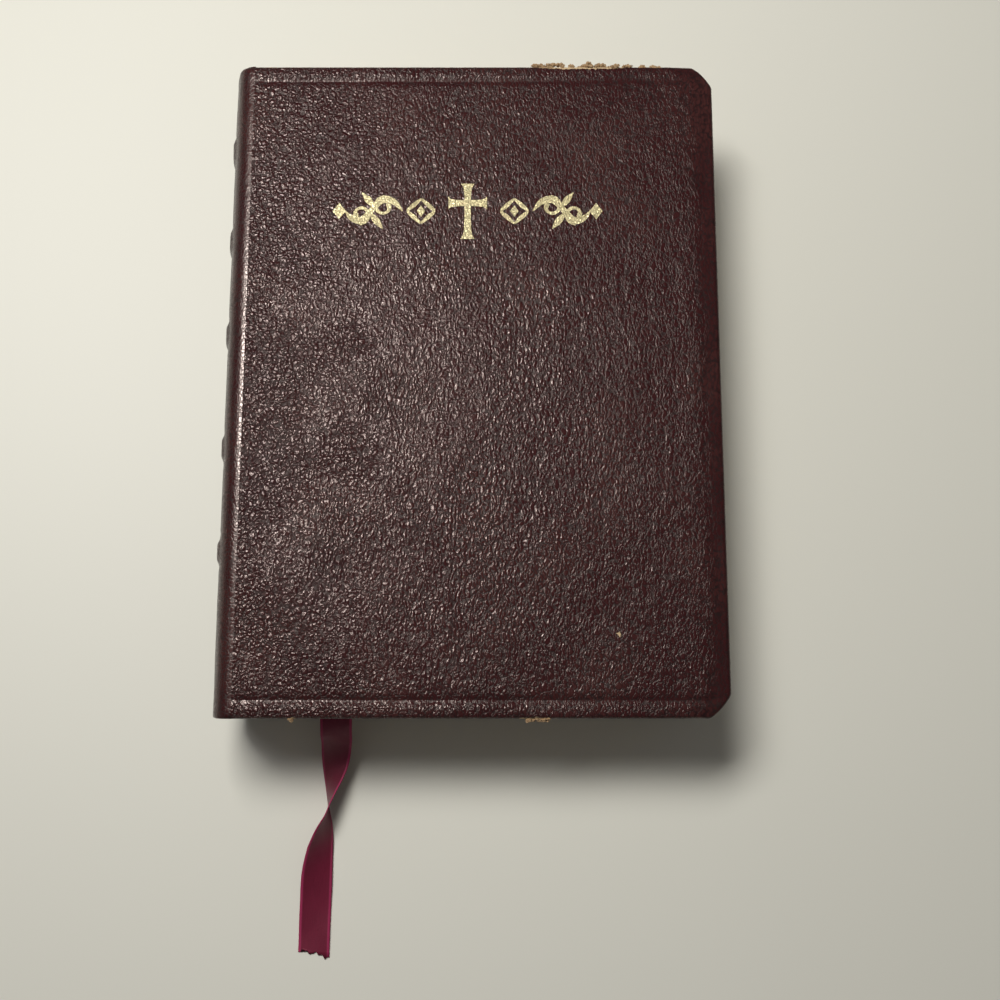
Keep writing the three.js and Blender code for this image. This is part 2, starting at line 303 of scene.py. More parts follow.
def satinFinish(name):
    # warp lines run along the ribbon; u goes across it and v along it, both in millimetres
    # the edge colour is a painted highlight along the ribbon's curled edges
    look = {"body": (0.145, 0.010, 0.032), "dark": (0.062, 0.004, 0.013), "edge": (0.27, 0.020, 0.075),
            "width": 7.0}
    finish = Finish(name)
    woven = finish.node("ShaderNodeUVMap", {"uv_map": "weave"})
    across = finish.node("ShaderNodeSeparateXYZ", None, {0: woven})
    streak = finish.node("ShaderNodeMapping", None, {"Vector": woven, "Scale": (9, 0.35, 1)})
    warp = finish.cloud(streak, 1.0, 2.0)
    pick = finish.node("ShaderNodeMapping", None, {"Vector": woven, "Scale": (1.2, 7.0, 1)})
    weft = finish.cloud(pick, 1.0, 1.0)
    edge = finish.node("ShaderNodeMath", {"operation": "ABSOLUTE"}, {0: across - look["width"] / 2})
    selvedgeHighlight = finish.ramp(edge, look["width"] / 2 - 0.75, look["width"] / 2 - 0.35)
    tone = finish.cloud(finish.place(), 0.12, 3.0)
    body = finish.colours(warp * 0.7 + tone * 0.5, look["dark"], look["body"])
    # painted highlight: both edges get a lighter colour for the curled edge catching light; the rougher weave
    # there is the selvedge's own
    finish.set("Base Color", finish.colours(selvedgeHighlight, body, look["edge"]))
    finish.set("Roughness", 0.38 + weft * 0.22 + selvedgeHighlight * 0.2)
    finish.set("Sheen Weight", 0.04)
    finish.set("Specular Tint", (1.0, 0.45, 0.55, 1))
    finish.bump((warp * 0.5 + weft * 0.7) * (0.03 * mm))
    return finish.material


def tornFinish(name):
    finish = Finish(name)
    spot = finish.place()
    fluff = finish.cloud(spot, 4.0, 4.0, 0.7)
    stain = finish.cloud(spot, 0.9, 2.0)
    tan = finish.colours(stain, (0.22, 0.13, 0.06), (0.60, 0.47, 0.30))
    finish.set("Base Color", finish.colours(finish.ramp(fluff, 0.35, 0.7), (0.30, 0.17, 0.08), tan))
    finish.set("Roughness", 0.95)
    finish.bump(fluff * (0.2 * mm))
    return finish.material


def floorFinish(name):
    finish = Finish(name)
    wash = finish.cloud(finish.place(0.002), 1.0, 2.0)
    finish.set("Base Color", finish.colours(wash, (0.60, 0.585, 0.53), (0.66, 0.65, 0.60)))
    finish.set("Roughness", 0.6)
    return finish.material


finishes = {
    "leather": leatherFinish("burgundyLeather"),
    "smoothLeather": leatherFinish("smoothLeather", False, 0.05),
    "spineLeather": leatherFinish("spineLeather", False, 0.15),
    "foil": foilFinish("goldFoil"),
    "leaves": paperFinish("biblePaper", (0.83, 0.78, 0.66)),
    "gilt": giltFinish("giltEdge"),
    "endpaper": paperFinish("endpaper", (0.80, 0.74, 0.60), 0.1),
    "board": boardFinish("greyCard", (0.36, 0.31, 0.25)),
    "lining": boardFinish("kraftPaper", (0.42, 0.28, 0.15)),
    "gauze": gauzeFinish("bindersGauze"),
    "thread": threadFinish("sewingThread", (0.80, 0.77, 0.68)),
    "headbandRed": threadFinish("headbandRed", (0.24, 0.02, 0.035)),
    "headbandCream": threadFinish("headbandCream", (0.76, 0.68, 0.50)),
    "ribbon": satinFinish("crimsonSatin"),
    "torn": tornFinish("tornFibres"),
}
print("finishes made:", len(finishes))


def newPiece(name, vertices, faces, finish, body=None, replaced=(), smoothFaces=True):
    mesh = bpy.data.meshes.new(name)
    mesh.from_pydata([tuple(v) for v in vertices], [], faces)
    mesh.materials.append(finish)
    if smoothFaces:
        mesh.shade_smooth()
    piece = bpy.data.objects.new(name, mesh)
    bpy.context.scene.collection.objects.link(piece)
    return settle(piece, body, replaced)


def settle(piece, body, replaced):
    if body:
        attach(piece, body)
    if replaced:
        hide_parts(*replaced)
    return piece


def bakeModifiers(source, name):
    # the evaluated shape becomes a plain mesh, and the source goes away
    shape = bpy.data.meshes.new_from_object(source.evaluated_get(bpy.context.evaluated_depsgraph_get()))
    piece = bpy.data.objects.new(name, shape)
    bpy.context.scene.collection.objects.link(piece)
    bpy.data.objects.remove(source)
    return piece


def recalc(piece):
    weld = bmesh.new()
    weld.from_mesh(piece.data)
    bmesh.ops.recalc_face_normals(weld, faces=weld.faces)
    weld.to_mesh(piece.data)
    weld.free()


def shellFaces(rows, columns):
    # closed skin over two layers of points, each with so many rows and columns
    def at(layer, i, k):
        return (layer * rows + i) * columns + k

    faces = []
    lastRow, lastColumn = rows - 1, columns - 1
    for i in range(lastRow):
        for k in range(lastColumn):
            faces.append((at(0, i, k), at(0, i + 1, k), at(0, i + 1, k + 1), at(0, i, k + 1)))
            faces.append((at(1, i, k), at(1, i, k + 1), at(1, i + 1, k + 1), at(1, i + 1, k)))
        k = lastColumn
        faces.append((at(0, i, 0), at(1, i, 0), at(1, i + 1, 0), at(0, i + 1, 0)))
        faces.append((at(0, i, k), at(0, i + 1, k), at(1, i + 1, k), at(1, i, k)))
    i = lastRow
    for k in range(lastColumn):
        faces.append((at(0, 0, k), at(0, 0, k + 1), at(1, 0, k + 1), at(1, 0, k)))
        faces.append((at(0, i, k), at(1, i, k), at(1, i, k + 1), at(0, i, k + 1)))
    return faces


# Camera
camera = {"place": (7.2, -64.6, 259.6), "tilt": 9.18, "lens": 39.6}
eye = bpy.data.objects.new("camera", bpy.data.cameras.new("camera"))
bpy.context.scene.collection.objects.link(eye)
eye.location = Vector(camera["place"]) * mm
eye.rotation_euler = Euler((math.radians(camera["tilt"]), 0, 0))
eye.data.sensor_width = 36
eye.data.lens = camera["lens"]
eye.data.clip_start = 0.01
bpy.context.scene.camera = eye


# Covers
coverLook = {  # millimetres, and shares for cornerFlat
    "edgeRadius": 0.85, "corner": 5.5, "cornerFlat": 0.55, "wall": 0.7, "turnIn": 12.0, "spacing": 0.62,
    "filletInset": 3.7, "filletWidth": 0.72, "filletDepth": 0.24, "rim": 0.08,
    "swell": 0.13, "swellSize": 13.0, "dimple": 0.05, "dimpleSize": 3.4,
    "crease": 0.07, "creaseSize": 5.0, "droop": 0.30, "droopReach": 6.5,
}


def edgeLine(low, high, lowEnd, spacing):
    # places from low to high, close together where the edge is rounded
    near = [0, 0.1, 0.28, 0.5, 0.7, 1.0, 1.4, 1.9]
    far = [12.0]
    ends = [high - step * mm for step in near + far]
    if lowEnd:
        ends += [low + step * mm for step in near + far]
    else:
        ends += [low]
    places = sorted(ends)
    line = []
    for a, b in zip(places, places[1:]):
        count = max(1, round((b - a) / (spacing * mm)))
        line += [a + (b - a) * k / count for k in range(count)]
    return line + [places[-1]]


def foreEdgeAt(y):
    # cover's fore edge at height y, in from the corners by an arc flattened towards a straight cut
    radius = coverLook["corner"] * mm
    past = abs(y) - (halfCover - radius)
    if past <= 0:
        return coverHigh.x
    share = min(1.0, past / radius)
    arc = radius * (1 - math.sqrt(max(0.0, 1 - share * share)))
    cut = radius * max(0.0, share - 0.12)
    flat = coverLook["cornerFlat"]
    return coverHigh.x - (arc * (1 - flat) + cut * flat)


def outerRise(x, y, side):
    # height of a cover's outer face above its nominal plane, in metres
    dx = max(0.0, foreEdgeAt(y) - x)
    dy = max(0.0, halfCover - abs(y))
    away = dx * dy / max(1e-9, math.hypot(dx, dy)) / mm
    radius = coverLook["edgeRadius"]
    drop = radius - math.sqrt(max(0.0, radius ** 2 - (radius - min(away, radius)) ** 2))
    inner = dy / mm
    right = (x - coverLow.x) / (coverHigh.x - coverLow.x)
    line = math.exp(-((inner - coverLook["filletInset"]) / coverLook["filletWidth"]) ** 2)
    fadeIn = smooth(0.3, 2.5, (x - coverLow.x) / mm) * smooth(1.0, 5.0, dx / mm)
    if y > 0:
        fadeIn *= 1 - 0.8 * smooth(0.45, 0.8, right)
    rise = -min(drop, 0.75) - coverLook["filletDepth"] * line * fadeIn
    rise += coverLook["rim"] * (1 - smooth(2.6, 4.0, inner)) * smooth(0.6, 1.6, inner)
    calm = smooth(0.4, 2.5, away)
    rise += coverLook["swell"] * calm * ripple(x, y, side, coverLook["swellSize"] * mm, 3.1)
    rise += coverLook["dimple"] * calm * ripple(x, y, side, coverLook["dimpleSize"] * mm, 7.7)
    pull = smooth(0.35, 0.95, right)
    folds = ripple(x * 3.2, y * 0.45, side, coverLook["creaseSize"] * mm, 1.9)
    rise += coverLook["crease"] * pull * calm * folds
    rise -= coverLook["droop"] * (1 - smooth(0.0, coverLook["droopReach"], dx / mm))
    return rise * mm


wearSpots = [  # x, y, reach along x and along y, all in millimetres from the book's middle, and strength
    (25.4, 73.2, 11.6, 1.1, 1.0), (-35.7, -73.3, 0.9, 0.8, 0.85), (13.9, -73.4, 4.2, 0.9, 0.85),
    (32.1, -55.6, 0.9, 1.1, 0.62), (-0.7, -43.6, 0.5, 0.6, 0.6), (-44.5, 72.8, 2.0, 0.5, 0.55),
]


def wearAt(x, y):
    amount = 0.0
    for spotX, spotY, reachX, reachY, strength in wearSpots:
        away = ((x / mm - spotX) / reachX) ** 4 + ((y / mm - spotY) / reachY) ** 2
        amount = max(amount, strength * math.exp(-away))
    return amount


def grainAt(x, y, side):
    # grain is pressed flat along the fore edge and stands up most near the spine and the tail
    right, up = (x - coverLow.x) / (coverHigh.x - coverLow.x), y / halfCover
    fore = smooth(1.6, 6.2, (foreEdgeAt(y) - x) / mm + 0.9 * ripple(x, y, side, 9 * mm, 2.2))
    amount = 1.12 - 0.52 * smooth(0.1, 0.95, right) - 0.22 * smooth(-0.1, 0.9, up)
    groove = math.exp(-(((halfCover - abs(y)) / mm - coverLook["filletInset"]) / 0.7) ** 2)
    patch = 0.10 * ripple(x, y, side, 14 * mm, 8.1)
    return max(0.06, amount * (0.14 + 0.86 * fore) * (1 - 0.75 * groove) + patch)


def coverSkin(side, innerFace, outward, painted):
    # Leather folded round the board: outer face, edge, turn-ins and the pocket that holds the board
    ys = edgeLine(-halfCover, halfCover, True, coverLook["spacing"])
    xs = edgeLine(coverLow.x, coverHigh.x, False, coverLook["spacing"])
    lastRow, lastColumn = len(ys) - 1, len(xs) - 1
    wallRow = next(i for i, y in enumerate(ys) if y > -halfCover + (coverLook["wall"] - 0.05) * mm)
    turnRow = next(i for i, y in enumerate(ys) if y > -halfCover + (coverLook["turnIn"] - 0.05) * mm)
    wallColumn = max(j for j, x in enumerate(xs) if x < coverHigh.x - (coverLook["wall"] - 0.05) * mm)
    turnColumn = max(j for j, x in enumerate(xs) if x < coverHigh.x - (coverLook["turnIn"] - 0.05) * mm)
    depth = {"outer": 1.8, "roof": 1.2, "floor": 0.65, "under": 0.25}
    vertices, index = [], {}

    def place(layer, i, j):
        key = (layer, i, j)
        if key not in index:
            y = ys[i]
            width = foreEdgeAt(y) - coverLow.x
            x = coverLow.x + (xs[j] - coverLow.x) * width / (coverHigh.x - coverLow.x)
            z = depth[layer] * mm
            if layer == "outer":
                z += outerRise(x, y, outward)
            if layer == "under":
                near = min(foreEdgeAt(y) - x, halfCover - abs(y)) / mm
                z += (0.28 * (1 - smooth(0, 0.5, near)) + 0.02 * ripple(x, y, 0, 4 * mm, 5.5)) * mm
            index[key] = len(vertices)
            vertices.append((x, y, innerFace + outward * z))
        return index[key]

    faces = []

    def quad(a, b, c, d):
        faces.append((a, b, c, d) if outward > 0 else (d, c, b, a))

    def patch(layer, i, j, outside):
        corners = [(i, j), (i, j + 1), (i + 1, j + 1), (i + 1, j)]
        if not outside:
            corners = [corners[0], corners[3], corners[2], corners[1]]
        quad(*(place(layer, *corner) for corner in corners))

    def inWindow(i, j):
        return turnRow <= i < lastRow - turnRow and j < turnColumn

    inner = range(wallRow, lastRow - wallRow)
    for i in range(lastRow):
        for j in range(lastColumn):
            patch("outer", i, j, True)
            if not inWindow(i, j):
                patch("under", i, j, False)
            if i in inner and j < wallColumn:
                patch("roof", i, j, False)
                if not inWindow(i, j):
                    patch("floor", i, j, True)

    def wall(first, second, path):
        for a, b in zip(path, path[1:]):
            quad(place(first, *a), place(first, *b), place(second, *b), place(second, *a))

    def rim(rowInset, column):
        low, high = rowInset, lastRow - rowInset
        return ([(low, j) for j in range(0, column)] + [(i, column) for i in range(low, high)]
                + [(high, j) for j in range(column, -1, -1)])

    wall("under", "outer", rim(0, lastColumn))
    wall("roof", "floor", rim(wallRow, wallColumn))
    wall("floor", "under", rim(turnRow, turnColumn))
    spineEdge = [(i, 0) for i in range(wallRow, lastRow - wallRow + 1)]
    wall("outer", "roof", spineEdge)
    for lowRow, highRow in ((wallRow, turnRow), (lastRow - turnRow, lastRow - wallRow)):
        wall("floor", "under", [(i, 0) for i in range(lowRow, highRow + 1)])
    for closing, first, last in ((wallRow, 0, wallRow), (lastRow - wallRow, lastRow - wallRow, lastRow)):
        rows = list(range(first, last + 1))
        loop = [place("outer", i, 0) for i in rows]
        if closing == rows[-1]:
            loop += [place("roof", closing, 0), place("floor", closing, 0)]
            loop += [place("under", i, 0) for i in reversed(rows)]
        else:
            loop += [place("under", i, 0) for i in reversed(rows)]
            loop += [place("floor", closing, 0), place("roof", closing, 0)]
        faces.append(tuple(reversed(loop)) if outward > 0 else tuple(loop))
    piece = newPiece(f"{side}CoverSkin", vertices, faces, finishes["leather"])
    recalc(piece)
    piece.data.shade_smooth()
    piece.data.set_sharp_from_angle(angle=leatherBend)
    grain = piece.data.attributes.new("grain", "FLOAT", "POINT")
    grain.data.foreach_set("value", [grainAt(v.co.x, v.co.y, outward) for v in piece.data.vertices])
    wear = piece.data.attributes.new("wear", "FLOAT", "POINT")
    if painted:
        wear.data.foreach_set("value", [wearAt(v.co.x, v.co.y) for v in piece.data.vertices])
    return settle(piece, f"{side}_cover", [f"{side}_cover_leather"])


coverSkin("front", frontFold.z, 1, True)
coverSkin("back", backFold.z, -1, False)
print("covers made")


# Spine and joints
spineLook = {"bands": (55.5, 33.5, 11.5, -14.5, -37.5), "bandHalf": 2.1, "rise": 0.5, "reach": 9.0,
             "round": 2.8, "leather": 3.5, "thick": 0.8, "fold": 2.2, "tool": 0.12, "toolPlace": 3.6}


def foldAt(z):
    u = (z - midHeight) / halfThick
    return foldX + (spineLook["fold"] - spineLook["round"] * (1 - u * u)) * mm


def tuckAt(y, depth):
    # how far the skin draws in where it is rounded over at the head and the tail, in millimetres
    end = (halfCover - abs(y)) / mm
    return depth * (1 - math.sqrt(max(0.0, 1 - (1 - min(1.0, end / 0.4)) ** 2)))


def bandAt(y, z):
    near = min(abs(y / mm - place) for place in spineLook["bands"])
    across = max(0.0, 1 - (near / (spineLook["bandHalf"] + 0.6)) ** 2)
    tooled = math.exp(-((near - spineLook["toolPlace"]) / 0.4) ** 2) * spineLook["tool"]
    fade = smooth(spineLook["reach"] + 0.8, spineLook["reach"] - 1.2, abs(z - midHeight) / mm)
    return (min(1.0, 1.5 * across) * spineLook["rise"] * fade - tooled) * mm


def spineSkin():
    heights = [spineLow.z + (spineHigh.z - spineLow.z) * k / 48 for k in range(49)]
    ys = edgeLine(-halfCover, halfCover, True, 0.8)
    nearBand = (-2.6, -2.2, -1.8, 1.8, 2.2, 2.6)
    extra = [place * mm + step * mm for place in spineLook["bands"] for step in nearBand]
    ys = sorted(set(round(y, 6) for y in ys + extra))
    vertices = []
    for layer in (0, 1):
        for y in ys:
            for z in heights:
                tuck = tuckAt(y, 0.4)
                outer = spineLook["leather"] * mm + bandAt(y, z)
                outer += 0.10 * mm * ripple(0, y, z, 8 * mm, 4.4) * smooth(0, 2, (halfCover - abs(y)) / mm)
                inner = (spineLook["leather"] - spineLook["thick"]) * mm + max(0.0, bandAt(y, z))
                offset = outer - tuck * mm if layer else inner + tuck * mm * 0.9
                vertices.append((foldAt(z) - offset, y, z))
    piece = newPiece("spineSkin", vertices, shellFaces(len(ys), len(heights)), finishes["spineLeather"],
                     "text_block", ["spine_leather"])
    piece.data.set_sharp_from_angle(angle=leatherBend)


def bezier(points, t):
    a, b, c, d = points
    s = 1 - t
    return a * s ** 3 + b * (3 * s * s * t) + c * (3 * s * t * t) + d * t ** 3


def jointSkin(side, fold, outward):
    # Strip of leather that bends between the spine's edge and the stiff part of the cover
    look = {"across": 14, "thick": 0.62, "end": spineHigh.z if outward > 0 else spineLow.z}
    face = fold.z + outward * 1.8 * mm
    start = Vector((foldAt(look["end"]) - spineLook["leather"] * mm, look["end"]))
    slope = 2 * spineLook["round"] * abs(look["end"] - midHeight) / halfThick ** 2 * mm
    rail = [start, start + Vector((slope, outward)) * 1.1 * mm,
            Vector((foldX + 0.2 * mm, face)), Vector((coverLow.x - 0.02 * mm, face))]
    ys = edgeLine(-halfCover, halfCover, True, 0.8)
    vertices = []
    count = look["across"]
    for layer in (0, 1):
        for y in ys:
            for k in range(count + 1):
                t = k / count
                spot = bezier(rail, t)
                ahead, behind = bezier(rail, min(1, t + 0.02)), bezier(rail, max(0, t - 0.02))
                along = (ahead - behind).normalized()
                normal = Vector((-along.y, along.x)) * outward
                rise = outerRise(coverLow.x + 0.1 * mm, y, outward) * smooth(0.3, 1, t)
                tuck = tuckAt(y, 0.3) * mm
                sink = rise - tuck * (1 - t) if layer else -look["thick"] * mm + tuck
                offset = spot + normal * sink
                vertices.append((offset.x, y, offset.y))
    faces = shellFaces(len(ys), count + 1)
    if outward < 0:
        faces = [tuple(reversed(corners)) for corners in faces]
    piece = newPiece(f"{side}JointSkin", vertices, faces, finishes["smoothLeather"], None,
                     [f"{side}_joint_leather"])
    piece.data.set_sharp_from_angle(angle=leatherBend)
    if side == "front":
        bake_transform(piece)
    else:
        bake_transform(piece)


spineSkin()
jointSkin("front", frontFold, 1)
jointSkin("back", backFold, -1)
print("spine and joints made")


# Geometry Nodes trees make the repeated pieces, and are built as the finishes are
class Maker:
    def __init__(self, name, inputs):
        self.tree = bpy.data.node_groups.new(name, "GeometryNodeTree")
        self.tree.interface.new_socket("Geometry", in_out="INPUT", socket_type="NodeSocketGeometry")
        self.tree.interface.new_socket("Geometry", in_out="OUTPUT", socket_type="NodeSocketGeometry")
        self.keys = {}
        for label, kind in inputs:
            made = self.tree.interface.new_socket(label, in_out="INPUT", socket_type=kind)
            self.keys[label] = made.identifier
        self.entry = self.tree.nodes.new("NodeGroupInput")
        self.exit = self.tree.nodes.new("NodeGroupOutput")

    def given(self, label):
        return self.entry.outputs[label]

    def node(self, kind, settings=None, values=None):
        node = self.tree.nodes.new(kind)
        for key, value in (settings or {}).items():
            setattr(node, key, value)
        for key, value in (values or {}).items():
            if isinstance(value, bpy.types.NodeSocket):
                self.tree.links.new(value, node.inputs[key])
            else:
                node.inputs[key].default_value = value
        return node

    def number(self, operation, first, second):
        return self.node("ShaderNodeMath", {"operation": operation}, {0: first, 1: second}).outputs[0]

    def ring(self, sides, radius):
        return self.node("GeometryNodeCurvePrimitiveCircle", {"mode": "RADIUS"},
                         {"Resolution": sides, "Radius": radius}).outputs[0]

    def joined(self, *parts):
        together = self.node("GeometryNodeJoinGeometry")
        for part in parts:
            self.tree.links.new(part, together.inputs[0])
        return together.outputs[0]

    def real(self, geometry):
        return self.node("GeometryNodeRealizeInstances", None, {0: geometry}).outputs[0]

    def coated(self, geometry, finish, marked=None):
        # on every face, or on the faces whose named attribute is true
        values = {"Geometry": geometry, "Material": finishes[finish]}
        if marked:
            chosen = self.node("GeometryNodeInputNamedAttribute", {"data_type": "BOOLEAN"}, {"Name": marked})
            values["Selection"] = chosen.outputs["Attribute"]
        return self.node("GeometryNodeSetMaterial", None, values).outputs[0]

    def finish(self, geometry):
        self.tree.links.new(geometry, self.exit.inputs[0])

    def apply(self, source, name, values):
        modifier = source.modifiers.new("make", "NODES")
        modifier.node_group = self.tree
        for label, value in values.items():
            modifier[self.keys[label]] = value
        return bakeModifiers(source, name)


def leafStackMaker():
    # one leaf outline becomes a stack of thin leaves whose trimmed edges are gilt
    maker = Maker("leafStack", [("Leaves", "NodeSocketInt"), ("Pitch", "NodeSocketFloat"),
                                ("Sheet", "NodeSocketFloat"), ("Ragged", "NodeSocketFloat"),
                                ("Seed", "NodeSocketInt")])
    raised = maker.node("GeometryNodeExtrudeMesh", {"mode": "FACES"},
                        {"Mesh": maker.given("Geometry"), "Offset Scale": maker.given("Sheet")})
    marked = maker.node("GeometryNodeStoreNamedAttribute", {"data_type": "BOOLEAN", "domain": "FACE"},
                        {"Geometry": raised.outputs["Mesh"], "Name": "trimmed",
                         "Value": raised.outputs["Side"]})
    turned = maker.node("GeometryNodeFlipFaces", None, {"Mesh": maker.given("Geometry")})
    both = maker.joined(marked.outputs["Geometry"], turned.outputs["Mesh"])
    leaf = maker.node("GeometryNodeMergeByDistance", None, {"Geometry": both, "Distance": 1e-6})
    step = maker.node("ShaderNodeCombineXYZ", None, {"Z": maker.given("Pitch")})
    line = maker.node("GeometryNodeMeshLine", None,
                      {"Count": maker.given("Leaves"), "Offset": step.outputs[0]})
    placed = maker.node("GeometryNodeInstanceOnPoints", None,
                        {"Points": line.outputs[0], "Instance": leaf.outputs[0]})
    inward = maker.number("MULTIPLY", maker.given("Ragged"), -1.0)
    low = maker.node("ShaderNodeCombineXYZ", None, {"X": inward, "Y": inward})
    high = maker.node("ShaderNodeCombineXYZ", None, {"Y": maker.given("Ragged")})
    jitter = maker.node("FunctionNodeRandomValue", {"data_type": "FLOAT_VECTOR"},
                        {"Min": low.outputs[0], "Max": high.outputs[0], "Seed": maker.given("Seed")})
    moved = maker.node("GeometryNodeTranslateInstances", None,
                       {"Instances": placed.outputs[0], "Translation": jitter.outputs[0]})
    paper = maker.coated(maker.real(moved.outputs[0]), "leaves")
    maker.finish(maker.coated(paper, "gilt", "trimmed"))
    return maker


def leafOutline(low, high, corner, steps=6):
    left, right, half = low.x, high.x, high.y
    angles = [math.radians(90 * k / steps) for k in range(steps + 1)]
    tail = [(right - corner * (1 - math.sin(a)), -half + corner * (1 - math.cos(a))) for a in angles]
    head = [(right - corner * (1 - math.cos(a)), half - corner * (1 - math.sin(a))) for a in angles]
    return [(left, -half), *tail, *head, (left, half)]


def leafSections():
    look = {"leaves": 9, "sheet": 0.088, "ragged": 0.05, "corner": 4.0}
    maker = leafStackMaker()
    holders = {node: body for body, nodes in frame["record"]["behaviour"]["bodies"].items() for node in nodes}
    sections = sorted(node for node in frame["nodes"] if node.startswith("leaf_section_"))
    for number, node in enumerate(sections, 1):
        low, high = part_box(node)
        outline = leafOutline(low, high, look["corner"] * mm)
        seed = newPiece("outline", [(x, y, low.z) for x, y in outline], [tuple(range(len(outline)))],
                        finishes["leaves"], smoothFaces=False)
        pitch = (high.z - low.z) / look["leaves"]
        piece = maker.apply(seed, f"leafSection{number:02d}", {
            "Leaves": look["leaves"], "Pitch": pitch, "Sheet": look["sheet"] * mm,
            "Ragged": look["ragged"] * mm, "Seed": number})
        settle(piece, holders[node], [node])
    print("leaf sections made:", len(sections))


leafSections()


# Headbands: thread in two colours worked over a cord
def headbandMaker():
    maker = Maker("workedBand", [("Loops", "NodeSocketInt"), ("Cord", "NodeSocketFloat"),
                                 ("Thread", "NodeSocketFloat"), ("Stripe", "NodeSocketInt")])
    line = maker.node("GeometryNodeMeshToCurve", None, {"Mesh": maker.given("Geometry")})
    even = maker.node("GeometryNodeResampleCurve", None,
                      {"Curve": line.outputs[0], "Count": maker.given("Loops")})
    loop = maker.node("GeometryNodeCurveToMesh", None,
                      {"Curve": maker.ring(14, maker.given("Cord")),
                       "Profile Curve": maker.ring(6, maker.given("Thread"))})
    points = maker.node("GeometryNodeCurveToPoints", {"mode": "EVALUATED"}, {"Curve": even.outputs[0]})
    # the first half of each stripe's loops is cream and the rest stays red
    order = maker.node("GeometryNodeInputIndex").outputs[0]
    stripe = maker.given("Stripe")
    half = maker.number("MULTIPLY", stripe, 0.5)
    pale = maker.number("LESS_THAN", maker.number("MODULO", order, stripe), half)
    placed = maker.node("GeometryNodeInstanceOnPoints", None,
                        {"Points": points.outputs["Points"], "Instance": loop.outputs[0],
                         "Rotation": points.outputs["Rotation"]})
    marked = maker.node("GeometryNodeStoreNamedAttribute", {"data_type": "BOOLEAN", "domain": "INSTANCE"},
                        {"Geometry": placed.outputs[0], "Name": "pale", "Value": pale})
    core = maker.node("GeometryNodeCurveToMesh", None,
                      {"Curve": even.outputs[0], "Profile Curve": maker.ring(10, maker.given("Cord")),
                       "Fill Caps": True})
    whole = maker.real(maker.joined(core.outputs[0], marked.outputs[0]))
    maker.finish(maker.coated(maker.coated(whole, "headbandRed"), "headbandCream", "pale"))
    return maker


def headbands():
    look = {"loops": 96, "cord": 0.66, "thread": 0.115, "stripe": 8, "reach": 9.9, "stand": 1.1, "lean": 0.4}
    maker = headbandMaker()
    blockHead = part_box("leaf_section_01")[1].y
    for name, end in (("headband", 1), ("tailband", -1)):
        points = []
        for k in range(17):
            z = midHeight + look["reach"] * mm * (k / 8 - 1)
            points.append((foldAt(z) + look["lean"] * mm, end * (blockHead + look["stand"] * mm), z))
        mesh = bpy.data.meshes.new("cordLine")
        mesh.from_pydata(points, [(k, k + 1) for k in range(16)], [])
        seed = bpy.data.objects.new("cordLine", mesh)
        bpy.context.scene.collection.objects.link(seed)
        piece = maker.apply(seed, f"{name}Worked", {
            "Loops": look["loops"], "Cord": look["cord"] * mm, "Thread": look["thread"] * mm,
            "Stripe": look["stripe"]})
        piece.data.shade_smooth()
        settle(piece, "text_block", [name])
    print("headbands made")


headbands()


# Ribbon: a satin strip with its route and the direction across it
ribbonLook = {"width": 7.0, "thick": 0.22, "across": 14, "alongStep": 0.45, "cup": 0.10}
shift = foldX / mm
slotZ = (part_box("leaf_section_12")[0].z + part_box("leaf_section_13")[1].z) / 2 / mm
upright = (0, 0, 1)
flat = (1, 0.1, 0)
hollowX = foldAt(slotZ * mm) / mm - shift - 1.45


def turned(degrees):
    return (math.cos(math.radians(degrees)), 0, math.sin(math.radians(degrees)))


innerRoute = [  # place, direction across and, where the ribbon is gathered over the headband, its width
    ((hollowX, 48, slotZ), upright, 7), ((hollowX, 66, slotZ), upright, 6.4),
    ((hollowX, 71, slotZ), upright, 3.8), ((hollowX + 0.25, 72.3, slotZ), upright, 3),
    ((hollowX + 0.9, 72.85, slotZ), upright, 3), ((0.4, 72.9, slotZ), turned(84), 3),
    ((1.6, 72.85, slotZ), turned(72), 3), ((2.8, 72.7, slotZ), turned(56), 3),
    ((3.8, 72.35, slotZ), turned(38), 3), ((4.5, 71.8, slotZ), turned(20), 3),
    ((4.9, 71.1, slotZ), turned(6), 3), ((5.05, 70.5, slotZ), turned(0), 3),
    ((5.2, 68.5, slotZ), turned(0), 4), ((6, 60, slotZ), flat, 7), ((22, -70, slotZ), flat, 7),
]
tailRoute = [
    ((22.1, -70.4, slotZ), flat), ((22, -72.6, 13.7), flat), ((21.9, -74.8, 12.6), flat),
    ((21.7, -76.8, 10.8), flat), ((21.5, -78.5, 8.4), turned(4)), ((21.2, -80.1, 6.2), turned(9)),
    ((20.9, -82, 4.4), turned(17)), ((20.6, -84.3, 3.2), turned(29)), ((20.2, -87, 3), turned(45)),
    ((19.8, -89.8, 3.6), turned(63)), ((19.4, -92.4, 3.9), turned(79)), ((19.1, -94.8, 3.95), turned(92)),
    ((18.6, -97.2, 3.8), turned(108)), ((18.1, -99.8, 3.45), turned(122)), ((17.5, -102.8, 2.85), turned(138)),
    ((16.8, -108, 1.7), turned(159)), ((16.5, -115, 0.75), turned(174)),
    ((16.35, -120.5, 0.35), turned(180)), ((16.3, -125.6, 0.3), turned(180)),
]


def through(values, t):
    # Catmull-Rom curve through a list of vectors
    last = len(values) - 1
    spot = min(max(t, 0.0), 1.0) * last
    k = min(int(spot), last - 1)
    u = spot - k
    a, b, c, d = (values[min(max(k + step, 0), last)] for step in (-1, 0, 1, 2))
    return 0.5 * (2 * b + (c - a) * u + (2 * a - 5 * b + 4 * c - d) * u * u + (3 * b - a - 3 * c + d) * u ** 3)


